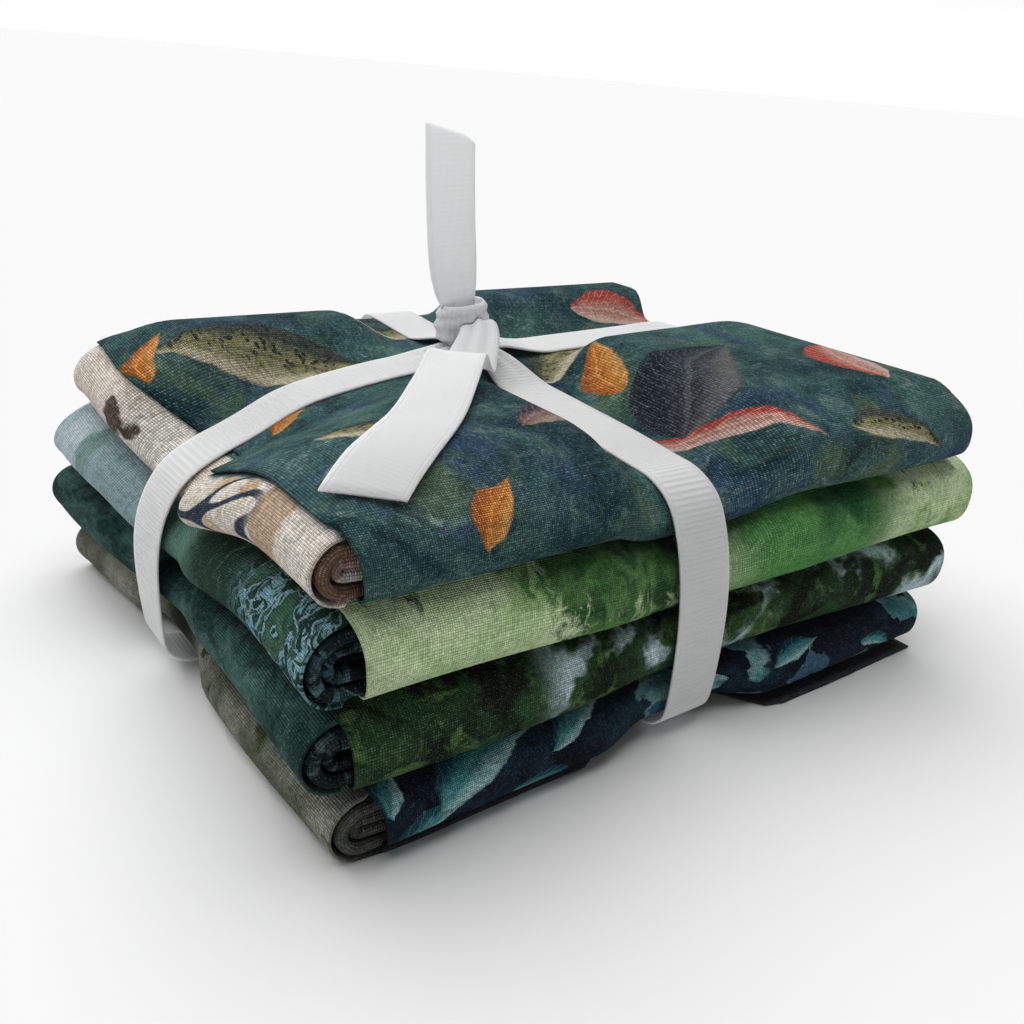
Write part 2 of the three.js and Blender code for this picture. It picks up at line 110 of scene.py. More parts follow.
def settle(x, y, z):
    """Presses the square stack in under the ribbon: a valley under each band, which runs out wider at the
    front left, a rounded crown between, drooping rims, sides drawn in at the bands, and a groove for the
    ribbon underneath. New place = place - press + crown - slump + roll + groove, each a product of smooth
    steps of the distances from the bands and the edges, and of the height's share, up."""
    up = np.clip(z / STACK, 0, 1.1)
    a, b = smooth(ramp(np.abs(x - BAND_X))), smooth(ramp(np.abs(y - band_y(x))))
    both = 1 - (1 - a) * (1 - b)
    left, ahead = np.clip((-x - 10) / 60, 0, 1.3), band_y(x) - y
    flank = smooth(ramp(np.abs(ahead), WIDE + LEE * smooth(left) * smooth(ahead / 12)))
    free = (1 - a) * (1 - flank)
    end_x, end_y = smooth((np.abs(x) - 60) / 26), smooth((np.abs(y) - 42) / 24)
    right, back = smooth((x + 20) / 40), smooth((y + 20) / 40)
    along = ALONG - TILT * y
    across = ACROSS + DROP * left ** 1.8
    press = (a * along * (1 - flank / 2) + flank * across * (1 - a / 2)) * up ** 1.5
    rim = np.maximum(smooth((np.abs(x) - 66) / 18) * (1 - 0.6 * right),
                     smooth((np.abs(y) - 50) / 16) * (1 - 0.5 * back))
    crown = (CROWN + 1.6 * right) * free * (1 - 0.9 * rim) * up
    low = 1 + 0.5 * back - (0.7 + 0.5 * back) * right     # the back left corner slumps most
    slump = SLUMP * low * np.maximum(end_x, end_y) * free * up ** 2
    roll = 0.5 * np.sin(x / 24 + y / 37 + 0.8) * np.sin(math.pi * np.minimum(up, 1))
    groove = GROOVE * both * np.clip(1 - z / PIECES[1]["base"], 0, 1)
    drawn = SIDE + BRIM * up ** 3.5 + FOOT * (1 - np.minimum(up, 1)) ** 4
    in_x = b * smooth((np.abs(x) - 44) / 40) * (1 - 0.5 * right)
    in_y = a * smooth((np.abs(y) - 28) / 38) * (1 - 0.5 * back)
    sx = x - np.sign(x) * drawn * in_x + 0.9 * np.sin(y / 27 + z / 13) * end_x
    sy = y - np.sign(y) * drawn * in_y + 0.9 * np.sin(x / 33 + z / 15) * end_y
    return sx, sy, z - press + crown - slump + roll + groove


# ---- meshes --------------------------------------------------------------------------------------

def patch(points, flat, cells=None, ring=False):
    """Points, flat coordinates and faces of a grid (n, m, 3) in mm, with the cells (n-1, m-1) that are
    sheet. A ring's last row joins its first."""
    if ring:
        points = np.concatenate([points, points[:1]])
    n, m = points.shape[:2]
    i, j = np.nonzero(np.ones((n - 1, m - 1), bool) if cells is None else cells)
    ahead = (i + 1) % (n - 1 if ring else n)
    faces = np.stack([i * m + j, ahead * m + j, ahead * m + j + 1, i * m + j + 1], axis=1)
    seen = np.stack([i * m + j, (i + 1) * m + j, (i + 1) * m + j + 1, i * m + j + 1], axis=1)
    return points.reshape(-1, 3), flat.reshape(-1, 2)[seen.reshape(-1)], faces


def sheet_object(name, patches, thick, material):
    """One mesh of patches, with the flat coordinates as its UV map and its thickness on both sides."""
    points, flats, faces, start = [], [], [], 0
    for p, f, q in patches:
        points.append(p)
        flats.append(f)
        faces.append(q + start)
        start += len(p)
    used, faces = np.unique(np.concatenate(faces), return_inverse=True)
    faces = faces.reshape(-1, 4)
    co = (np.concatenate(points)[used] - MIDDLE) * MM
    mesh = bpy.data.meshes.new(name)
    mesh.from_pydata(co.tolist(), [], faces.tolist())
    uv = mesh.uv_layers.new(name="flat")
    uv.data.foreach_set("uv", np.concatenate(flats).astype(np.float32).reshape(-1))
    mesh.polygons.foreach_set("use_smooth", np.ones(len(faces), bool))
    mesh.materials.append(material)
    mesh.update()
    obj = bpy.data.objects.new(name, mesh)
    bpy.context.collection.objects.link(obj)
    solid = obj.modifiers.new("thickness", "SOLIDIFY")
    solid.thickness, solid.offset, solid.use_quality_normals = thick * MM, 0.0, True
    return obj


def steps(start, end, n):
    """n + 1 even steps from start to end."""
    return np.linspace(start, end, n + 1)


# ---- one folded cloth ----------------------------------------------------------------------------

COVER, TURN, UPPER, ROLL, LOWER = range(5)          # the parts met along the sheet
WRAP, FLATS, BEND = range(3)                        # the parts met across it
BULGE = 0.26                                        # how much a fold's bend is fuller than its layers
COVER_CELLS, HALF_CELLS, ROLL_CELLS, BEND_CELLS = 78, 34, 24, 8
WRAP_CELLS, OUTER_CELLS, INNER_CELLS = 26, 58, 26
WRAP_FLAT, LAYER_FLAT, BEND_FLAT = 25, 124, 2.5     # flat widths of the wrap, a layer and a bend


def lengthwise(piece):
    """Parts, plan x, angle and flat length along the sheet: the cover from left to right, its turn at
    the right, the upper half back to the left, the roll, and the lower half."""
    roll_x, right = piece["left"] + piece["mid"], piece["right"]
    span, arc = right - roll_x, math.pi * piece["radius"]
    turn = steps(0, math.pi, BEND_CELLS)[1:-1]
    roll = steps(0, math.pi, ROLL_CELLS)[1:-1]
    parts = [
        (COVER, steps(roll_x, right, COVER_CELLS), 0.0, steps(0, span, COVER_CELLS)),
        (TURN, right, turn, span + turn * 0.7),
        (UPPER, steps(right, roll_x, HALF_CELLS), 0.0, span + 2 + steps(0, span, HALF_CELLS)),
        (ROLL, roll_x, roll, 2 * span + 2 + arc * roll / math.pi),
        (LOWER, steps(roll_x, right, HALF_CELLS), 0.0,
         2 * span + 2 + arc + steps(0, span, HALF_CELLS)),
    ]
    rows = [np.broadcast_arrays(*map(np.asarray, part)) for part in parts]
    return [np.concatenate([np.atleast_1d(row[k]) for row in rows]) for k in range(4)]


def crosswise():
    """Parts, layer, place and flat length across the sheet: the wrap at the front, whose place is its
    turn with the tuck past 1, then five layers, whose place is the share of the way back, joined by
    bends, whose place is an angle."""
    wrap = np.concatenate([[1.12], steps(1, 0, WRAP_CELLS)[:-1]])
    rows = [(np.full(len(wrap), WRAP), np.zeros(len(wrap)), wrap, -WRAP_FLAT * wrap)]
    at = 0.0
    for k in range(LAYERS):
        n = INNER_CELLS if k else OUTER_CELLS
        share = (1 - np.cos(math.pi * steps(0, 1, n))) / 2 * 0.35 + steps(0, 1, n) * 0.65
        along = share[::-1] if k % 2 else share
        rows.append((np.full(n + 1, FLATS), np.full(n + 1, k), along, at + LAYER_FLAT * share))
        at += LAYER_FLAT
        if k < LAYERS - 1:
            angle = steps(0, math.pi, BEND_CELLS)[1:-1]
            rows.append((np.full(len(angle), BEND), np.full(len(angle), k), angle, at + angle * 0.8))
            at += BEND_FLAT
    return [np.concatenate([row[k] for row in rows]) for k in range(4)]


def folded(piece):
    """The middle surface of a folded cloth, before settling, on the grid of the two lists above. A
    layer's depth is counted inwards from the outer one; on the upper half it lies below, on the roll
    inside and on the lower half above. The cover lies over all, and its wrap is half a rounded
    rectangle: across = start - depth |sin|^q, height = middle + half sign(cos) |cos|^q."""
    sp, sx, sa, s_flat = (v[:, None] for v in lengthwise(piece))
    up, uk, uv, u_flat = (v[None, :] for v in crosswise())
    out = (LAYER - CLOTH_THICK) / 2                   # the outer layer lies where the solid's outside is
    roll_x = piece["left"] + piece["mid"]
    on_cover = (sp == COVER) | (sp == TURN)
    in_roll = np.where(sp == ROLL, 1.0, smooth((roll_x + FRONT_CHANGE - sx) / FRONT_CHANGE))

    def front_end(k):
        reach = (FRONT_LOWEST + piece["ledge"]) * (0.7 + 0.3 * smooth((sx + 20) / 40))
        ledge = FRONT_LOWEST - reach * (1 - ramp(np.abs(sx - BAND_X)))
        back = np.where(k == 0, np.where(sp == LOWER, ledge, FRONT_OUTER), FRONT_INNER)
        own = FRONT_END + back * (1 - in_roll) + FRONT_IN_ROLL * k * in_roll
        return np.where(on_cover, WRAP_START, own)

    def back_end(k):
        return piece["back"] - np.where(k == 4, 3, 0.5 * np.floor((k + 1) / 2))

    # layers and bends: place from front to back and depth
    y_layer = front_end(uk) + (back_end(uk) - front_end(uk)) * uv
    odd = uk % 2 == 1
    fuller = lambda y, end: BULGE * (1 - smooth(np.abs(y - end) / 5))
    own, last = np.where(odd, front_end(uk), back_end(uk)), np.where(odd, back_end(uk), front_end(uk))
    depth_layer = (uk * PITCH - fuller(y_layer, own) * (uk < LAYERS - 1)
                   + fuller(y_layer, last) * (uk > 0)) - out * (uk == 0)
    r_bend = PITCH / 2 + BULGE
    y_bend = np.where(odd, front_end(uk) - r_bend * np.sin(uv), back_end(uk) + r_bend * np.sin(uv))
    depth_bend = (uk + 0.5) * PITCH - r_bend * np.cos(uv)
    is_bend = up == BEND
    y = np.where(is_bend, y_bend, y_layer)
    depth = np.where(is_bend, depth_bend, depth_layer)

    # the cover and its wrap
    edge = np.clip(1 - (sx - roll_x) / 14, 0, 1) ** 2 * (sp == COVER)
    turn, tuck = np.minimum(uv, 1), np.where(uv > 1, WRAP_TUCK, 0)
    sin, cos = np.sin(math.pi * turn), np.cos(math.pi * turn)
    foot = LAYER / 2 - out + (PITCH if piece["ledge"] > 0 else 0)
    half = (piece["cover"] + out - foot) / 2
    is_wrap = up == WRAP
    y_lean = np.where(is_wrap, -30.0, y)
    lean = edge * (1.2 * np.sin(y_lean / 15 + piece["phase"]) - 0.6 + 3.4 * np.where(is_wrap, turn, 0))
    wrap_y = WRAP_START + tuck - (WRAP_DEPTH + out) * np.abs(sin) ** WRAP_SQUARE
    wrap_z = foot + half + half * np.sign(cos) * np.abs(cos) ** WRAP_SQUARE
    cover_z = np.where(is_wrap, wrap_z, piece["cover"] + out)

    r = piece["radius"] - depth
    past = np.where(sx >= piece["right"] - 0.01, -0.7 * uk, 0)
    x = np.select(
        [sp == COVER, sp == TURN, sp == ROLL],
        [sx + lean, piece["right"] + (PITCH / 2 + out) * np.sin(sa), roll_x - r * np.sin(sa)], sx + past)
    z = np.select(
        [sp == COVER, sp == TURN, sp == UPPER, sp == ROLL],
        [cover_z, piece["cover"] - PITCH / 2 + (PITCH / 2 + out) * np.cos(sa), piece["mid"] + r,
         piece["mid"] + r * np.cos(sa)], piece["mid"] - r)
    y = np.where((sp == COVER) & is_wrap, wrap_y, y)
    return np.broadcast_arrays(x, y, z, s_flat, u_flat)


def uneven(piece, x, y, z):
    """Waves of a piece's front and roll, and the sag of its roll at the back."""
    front = smooth((-y - 46) / 16) * (1 - ramp(np.abs(x - BAND_X)))
    left = smooth((-x - 62) / 20)
    y1 = y + front * (piece["front"] + piece["wave"] * np.sin(x / 21 + piece["phase"]))
    lean = piece["lean"] + piece["droop"] * (0.5 - z / (2 * piece["mid"]))
    wander = piece["wave"] * 0.7 * np.sin(y / 17 + 2 * piece["phase"])
    x1 = x + left * (wander - lean * smooth((y + 10) / 70))
    flattened = 1 - piece["sag"] * left * smooth((y - 2) / 30)
    z1 = z * flattened - piece["drop"] * left * smooth((y + 10) / 60)
    return x1, y1, z1 + piece["base"]


def cloth(piece, material):
    """A folded cloth: its middle surface is folded, made uneven and settled, and gets its thickness."""
    x, y, z, s, u = folded(piece)
    points = np.stack(settle(*uneven(piece, x, y, z)), axis=-1)
    sp = lengthwise(piece)[0]
    up = crosswise()[0]
    rows = np.arange(len(sp))[:-1, None]
    cols = np.arange(len(up))[None, :-1]
    first_turn, first_upper = np.argmax(sp == TURN), np.argmax(sp == UPPER)
    first_flat, first_bend = np.argmax(up == FLATS), np.argmax(up == BEND)
    cells = np.where(rows >= first_upper, cols >= first_flat,
                     (cols < first_bend - 1) & ((cols >= first_flat) | (rows < first_turn - 1)))
    name = piece["name"].replace("cloth", "cotton")
    obj = sheet_object(name, [patch(points, np.stack([s, u], axis=-1), cells)], CLOTH_THICK, material)
    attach(obj, "root")
    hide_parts(piece["name"])
    return obj


# ---- ribbon --------------------------------------------------------------------------------------

LIFT = 0.35                                         # from the stack's outside to the ribbon's middle
LOOSE_START = 1000.0                                # flat length from which the free ends count
GATHER_NEAR, GATHER_FAR, GATHER_WIDE, GATHER_RISE = 5.0, 22.0, 8.0, 3.0
RIBBON_TOP = STACK + LIFT
PAST_WRAP = 1.4                                     # from the wrap to the front-to-back band
OFF_LEFT = 1.7                                      # from the top cloth's left end to the other band
OFF_RIGHT = 3.2, 2.2, 6                             # and from right ends: top, second, bottom cloth
CORNER, CORNER_RIGHT, CORNER_FRONT = 7, 1.5, 4      # radii of the bands' corners
OVER = 0.1                                          # how much higher the left-to-right band lies
KNOT_PLACE, KNOT_RADII, KNOT_HIGH, KNOT_TILT = (-4.8, 19.5, 9.0), (5.8, 5.0), 8.8, (0.1, -0.15)
KNOT_FLAT = 34                                      # flat length of the knot's wrap
LOOP_CELLS, ACROSS_CELLS = 60, 14


def rounded_loop(low, high, left, right_top, right_mid, right_low, radius, right_radius):
    """A closed loop (n, 2) with five corners, each turned by a quadratic curve, in steps of 1 mm. The
    one in the middle of the right side lets the ribbon follow a wider piece."""
    spots = np.array([(right_top, high), (right_mid, (low + 3 * high) / 4), (right_low, low), (left, low),
                      (left, high)], float)
    radii = [right_radius, 1.5, right_radius, radius, radius]
    points, t = [], steps(0, 1, 12)[:, None]
    for k, (here, r) in enumerate(zip(spots, radii)):
        before, after = spots[k - 1] - here, spots[(k + 1) % 5] - here
        start = before / np.linalg.norm(before) * r + here
        end = after / np.linalg.norm(after) * r + here
        points.append((1 - t) ** 2 * start + 2 * t * (1 - t) * here + t ** 2 * end)
    loop = np.concatenate(points + [points[0][:1]])
    far = np.concatenate([[0], np.cumsum(np.linalg.norm(np.diff(loop, axis=0), axis=1))])
    at = steps(0, far[-1], int(far[-1]))
    return np.stack([np.interp(at, far, loop[:, 0]), np.interp(at, far, loop[:, 1])], axis=1)[:-1], far[-1]


def band(loop, length, start, lift, place):
    """A ring of ribbon round the stack: the loop moved outwards by lift, its width across the loop,
    gathered into pleats near the knot, and then settled with the stack."""
    ahead, behind = np.roll(loop, -1, axis=0), np.roll(loop, 1, axis=0)
    t = (ahead - behind) / np.linalg.norm(ahead - behind, axis=1)[:, None]
    across = steps(-1, 1, ACROSS_CELLS)
    a, z = (loop[:, 0] - t[:, 1] * lift)[:, None], (loop[:, 1] + t[:, 0] * lift)[:, None]
    x, y = place(a, 0 * across)
    near = 1 - smooth((np.hypot(x - BAND_X, y - BAND_Y) - GATHER_NEAR) / (GATHER_FAR - GATHER_NEAR))
    near = near * (z > STACK * 0.8)
    wide = (RIBBON_WIDE + (GATHER_WIDE - RIBBON_WIDE) * near) / 2
    x, y = place(a, across * wide)
    z = z + near * (GATHER_RISE + 0.4 * np.cos(across * math.pi * 2.5)) + 0 * x
    points = np.stack(settle(x, y, z), axis=-1)
    s = start + steps(0, length, len(loop))[:, None]
    flat = np.stack(np.broadcast_arrays(s, across * RIBBON_WIDE / 2), axis=-1)
    return patch(points, flat, ring=True)


def through(table, t):
    """A smooth curve through every column of a table, as a Catmull-Rom spline, at t from 0 to 1."""
    rows = np.array(table, float)
    rows = np.concatenate([[2 * rows[0] - rows[1]], rows, [2 * rows[-1] - rows[-2]]])
    at = t * (len(table) - 1)
    k = np.minimum(at.astype(int), len(table) - 2)
    f = (at - k)[:, None]
    p0, p1, p2, p3 = (rows[k + i] for i in range(4))
    return 0.5 * (2 * p1 + (p2 - p0) * f + (2 * p0 - 5 * p1 + 4 * p2 - p3) * f ** 2
                  + (3 * p1 - p0 - 3 * p2 + p3) * f ** 3)


def loose_end(table, start, cut, n=90):
    """A free end of ribbon. Its rows are x, y and height above the bands, width, share of pleating and
    the direction of the width in degrees about Z. Its two edges settle, and it lies straight between
    them, raised clear of the cloth; the cut, a function of the place across, lengthens its last stretch."""
    t = steps(0, 1, n)
    x, y, h, wide, pleat, angle = through(table, t).T
    path = np.stack([x, y, h + RIBBON_TOP], axis=1)
    tangent = np.gradient(path, axis=0)
    step = np.linalg.norm(tangent, axis=1)
    tangent = tangent / step[:, None]
    across = steps(-1, 1, ACROSS_CELLS)
    a = np.radians(angle)
    side = np.stack([np.cos(a), np.sin(a), 0 * a], axis=1)
    side = side - tangent * (side * tangent).sum(axis=1)[:, None]
    side /= np.linalg.norm(side, axis=1)[:, None]
    normal = np.cross(tangent, side)
    half = side * wide[:, None] / 2
    low, mid, high = (np.stack(settle(*(path + v * half).T), axis=1) for v in (-1, 0, 1))
    rise = np.maximum(mid[:, 2] - (low[:, 2] + high[:, 2]) / 2, 0)
    low[:, 2] += rise
    high[:, 2] += rise
    share = (across[None, :, None] + 1) / 2
    fold = pleat[:, None] * (0.35 * np.cos(across * math.pi * 2.5) - 0.9 * across ** 2)
    far = np.concatenate([[0], np.cumsum(step[1:])])
    slant = cut(across) * t[:, None] ** 12
    points = (low[:, None] * (1 - share) + high[:, None] * share
              + normal[:, None] * fold[..., None] + tangent[:, None] * slant[..., None])
    flat = np.stack([start + far[:, None] + slant, across * RIBBON_WIDE / 2 + 0 * slant], axis=-1)
    return patch(points, flat)


def knot_wrap(centre, radii, high, tilt, start):
    """The wrap of the knot: an oval barrel whose radii are fullest halfway up, with pleats that run round
    it, leaned by tilt, its rise along X and along Y."""
    angle = steps(0, 2 * math.pi, LOOP_CELLS)[:-1, None]
    v = steps(-1, 1, ACROSS_CELLS)[None, :]
    swell = 0.86 + 0.22 * (1 - v ** 2) + 0.05 * np.cos(v * math.pi * 3 + 1.2 * np.sin(angle))
    x, y = radii[0] * np.cos(angle) * swell, radii[1] * np.sin(angle) * swell
    z = high / 2 * v * (1 + 0.12 * np.sin(angle + 0.6)) + tilt[0] * x + tilt[1] * y
    place = np.broadcast_arrays(x + centre[0], y + centre[1], z + centre[2] + RIBBON_TOP)
    points = np.stack(settle(*place), axis=-1)
    s = start + steps(0, KNOT_FLAT, LOOP_CELLS)[:, None]
    flat = np.stack(np.broadcast_arrays(s, v * RIBBON_WIDE / 2), axis=-1)
    return patch(points, flat, ring=True)


STANDING = [                                        # x, y, height, width, pleating, direction of width
    [-4.5, 19, 4, 7.5, 1.0, 0], [-5.0, 19.8, 9, 8, 1.0, -1], [-5.6, 20.6, 12.5, 9, 0.9, -2],
    [-6.2, 21.3, 17, 11.4, 0.5, -2], [-6.8, 21.8, 23, 12.6, 0.15, -2], [-7.5, 22.3, 32, 12.7, 0, -2],
    [-8.1, 22.7, 42, 12.7, 0, -2], [-8.5, 23, 51, 12.7, 0, -2]]
LYING = [
    [-3.5, 17.5, 6, 7.5, 1.0, -34], [-3.4, 15.3, 10.5, 8, 1.0, -38], [-6, 10.2, 9.0, 9, 0.9, -42],
    [-11, 4.5, 6.6, 10.5, 0.5, -44], [-17.4, -2.2, 4.6, 12, 0.2, -45], [-25.5, -10, 3.0, 12.7, 0, -46],
    [-37, -23.5, 1.6, 12.7, 0, -48], [-52, -40, 0.7, 12.7, 0, -50], [-72.5, -57.5, 0.5, 12.7, 0, -52]]


def ribbon(material):
    """The two bands, the knot's wrap and the two free ends, as one length of ribbon."""
    reach = WRAP_DEPTH - WRAP_START + LAYER / 2 + PAST_WRAP
    bottom, _, second, top = PIECES
    rights = [piece["right"] + off for piece, off in zip((top, second, bottom), OFF_RIGHT)]
    front_back, n1 = rounded_loop(0, STACK, -reach, reach, reach, reach, CORNER, CORNER_FRONT)
    left_right, n2 = rounded_loop(0, STACK, top["left"] - OFF_LEFT, *rights, CORNER, CORNER_RIGHT)
    patches = [
        band(front_back, n1, 0, LIFT, lambda a, across: (BAND_X + across, a + 0 * across)),
        band(left_right, n2, n1, LIFT + OVER, lambda a, across: (a + 0 * across, band_y(a) + across)),
        knot_wrap(KNOT_PLACE, KNOT_RADII, KNOT_HIGH, KNOT_TILT, n1 + n2),
        loose_end(STANDING, LOOSE_START + 40, lambda v: -1.6 * v - 1.4 * np.clip((v - 0.4) / 0.6, 0, 1)**2),
        loose_end(LYING, LOOSE_START + 120, lambda v: -2.3 * v),
    ]
    obj = sheet_object("grosgrain_ribbon", patches, RIBBON_THICK, material)
    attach(obj, "root")
    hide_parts("ribbon")
    return obj


# ---- finishes ------------------------------------------------------------------------------------

INSIDE = 190, 200                                   # flat widths between which the inner layers start
RELIEF = 0.2                                        # height of a thread in the weave
RIB, EDGE_THREAD = 1.1, 0.3                         # steps of the grosgrain's ribs and edge threads

class Finish:
    """A fabric's shader tree. Its patterns read the flat coordinates, in mm, from the UV map."""

    def __init__(self, name, roughness=1.0):
        self.material = bpy.data.materials.new(name)
        self.material.use_nodes = True
        self.nodes, self.links = self.material.node_tree.nodes, self.material.node_tree.links
        self.shader = self.nodes["Principled BSDF"]
        self.shader.inputs["Roughness"].default_value = roughness
        self.shader.inputs["Specular IOR Level"].default_value = 0.12
        self.flat = self.add("ShaderNodeUVMap", uv_map="flat").outputs[0]
        self.s, self.u = self.split(self.flat)[:2]

    def add(self, kind, inputs=(), **props):
        node = self.nodes.new(kind)
        for key, value in props.items():
            setattr(node, key, value)
        for key, value in dict(inputs).items():
            if isinstance(value, bpy.types.NodeSocket):
                self.links.new(value, node.inputs[key])
            else:
                node.inputs[key].default_value = value
        return node

    def split(self, vector):
        return self.add("ShaderNodeSeparateXYZ", {0: vector}).outputs

    def join(self, x, y, z=0.0):
        return self.add("ShaderNodeCombineXYZ", {0: x, 1: y, 2: z}).outputs[0]

    def math(self, operation, a, b=0.0, c=0.0):
        return self.add("ShaderNodeMath", {0: a, 1: b, 2: c}, operation=operation).outputs[0]

    def rise(self, x, low, high):
        """0 below low and 1 above high, smoothly."""
        node = self.add("ShaderNodeMapRange", {0: x, 1: low, 2: high},
                        interpolation_type="SMOOTHSTEP")
        return node.outputs[0]

    def within(self, x, low, high, soft):
        """1 between low and high and 0 outside, with soft edges."""
        return self.both(self.rise(x, low - soft, low + soft), self.rise(x, high + soft, high - soft))

    def both(self, a, b):
        return self.math("MULTIPLY", a, b)

    def line(self, x, at, outer, inner):
        """1 where x is within inner of a value and 0 where it is outer or more away from it."""
        return self.rise(self.math("ABSOLUTE", self.math("SUBTRACT", x, at)), outer, inner)

    def noise(self, vector, size, detail=4, rough=0.55, warp=0.0, seed=0.0, output=0):
        """Cloudy noise whose blotches are about size mm."""
        inputs = {"Vector": vector, "W": seed, "Scale": 1 / size, "Detail": detail, "Roughness": rough,
                  "Distortion": warp}
        node = self.add("ShaderNodeTexNoise", inputs, noise_dimensions="4D")
        return node.outputs[output]

    def stretched(self, vector, sx, sy, turn=0.0):
        inputs = {"Vector": vector, "Rotation": (0, 0, turn), "Scale": (sx, sy, 1)}
        return self.add("ShaderNodeMapping", inputs, vector_type="POINT").outputs[0]

    def warped(self, vector, size, amount, seed=1.0):
        """The vector moved about by noise, up to amount mm."""
        drift = self.noise(vector, size, 3, 0.6, seed=seed, output=1)
        away = self.add("ShaderNodeVectorMath", {0: drift, 1: (0.5, 0.5, 0.5)},
                        operation="SUBTRACT").outputs[0]
        far = self.add("ShaderNodeVectorMath", {0: away, "Scale": amount * 3}, operation="SCALE").outputs[0]
        return self.add("ShaderNodeVectorMath", {0: vector, 1: far}, operation="ADD").outputs[0]

    def mix(self, share, a, b):
        return self.add("ShaderNodeMix", {0: share, 6: rgba(a), 7: rgba(b)}, data_type="RGBA").outputs[2]

    def weave(self, colour, contrast, shine):
        """Plain weave: warp and weft pass over each other by turns, and each crossing is a bead, rounded
        across its thread and falling off along it, its colour painted lighter on top and darker, as painted
        shade, in the gap at each corner. Every bead has its own lightness, and the lightest show the white
        cotton under the print together with a painted highlight of the fibres."""
        a = self.math("MULTIPLY", self.s, math.pi / THREAD)
        b = self.math("MULTIPLY", self.u, math.pi / THREAD)
        sa, sb = self.math("SINE", a), self.math("SINE", b)
        over = self.rise(self.both(sa, sb), -0.12, 0.12)
        sa, sb = self.math("ABSOLUTE", sa), self.math("ABSOLUTE", sb)
        down = self.both(sa, self.math("MULTIPLY_ADD", sb, 0.6, 0.4))
        along = self.both(sb, self.math("MULTIPLY_ADD", sa, 0.6, 0.4))
        bead = self.add("ShaderNodeMix", {0: over, 2: along, 3: down}, data_type="FLOAT").outputs[0]
        cell = self.join(self.math("FLOOR", self.math("DIVIDE", self.s, THREAD)),
                         self.math("FLOOR", self.math("DIVIDE", self.u, THREAD)))
        chance = self.add("ShaderNodeTexWhiteNoise", {"Vector": cell}, noise_dimensions="2D").outputs[0]
        slub = self.noise(self.stretched(self.flat, 1 / 6, 1), THREAD * 1.5, 2, 0.6, seed=5.0)
        other = self.noise(self.stretched(self.flat, 1, 1 / 6), THREAD * 1.5, 2, 0.6, seed=6.0)
        slub = self.math("ADD", slub, other)
        light = self.math("MULTIPLY_ADD", chance, 0.5, self.math("MULTIPLY_ADD", slub, 0.9, -0.15))
        # painted highlight and painted shade: the colour is scaled by the bead's height, lighter on its top
        # and darker in the gaps between threads
        light = self.both(self.math("MULTIPLY_ADD", bead, 1.0, 0.42), light)
        shade = self.math("MULTIPLY_ADD", self.math("SUBTRACT", light, 0.94), contrast, 1.0)
        shade = self.math("MAXIMUM", shade, 0.08)
        tone = self.add("ShaderNodeVectorMath", {0: colour, "Scale": shade}, operation="SCALE").outputs[0]
        # whitish specks on the tops of the lightest beads, in patches: partly white cotton under the print,
        # partly a painted highlight of the fibres
        glint_and_bare_patches = self.rise(self.noise(self.flat, 1.3, 3, 0.7, seed=7.0), 0.42, 0.66)
        glint_and_bare_patches = self.math("MULTIPLY_ADD", glint_and_bare_patches, 1.5, 0.35)
        bare_cotton_and_glint = self.both(self.both(self.rise(bead, 0.5, 0.95), self.rise(chance, 0.45, 1.0)),
                         self.math("MULTIPLY", glint_and_bare_patches, shine))
        tone = self.mix(bare_cotton_and_glint, tone, (0.62, 0.68, 0.7))
        return self.finished(tone, bead, RELIEF)

    def from_roll(self, piece, before, after):
        """One colour along the sheet up to a cloth's roll, and another from the roll on."""
        roll = 2 * half_length(piece)
        return self.mix(self.rise(self.s, roll - 12, roll - 6), before, after)

    def finished(self, tone, height, depth):
        """Puts a colour and a relief, whose height of 1 is depth in mm, on the shader."""
        inputs = {"Strength": 1.0, "Distance": depth * MM, "Height": height}
        self.links.new(tone, self.shader.inputs["Base Color"])
        self.links.new(self.add("ShaderNodeBump", inputs).outputs[0], self.shader.inputs["Normal"])
        return self.material


def half_length(piece):
    """Flat length of one half of a folded cloth; twice that is where its roll starts."""
    return piece["right"] - piece["left"] - piece["mid"]


def rgba(colour):
    return (*colour, 1.0) if isinstance(colour, tuple) and len(colour) == 3 else colour


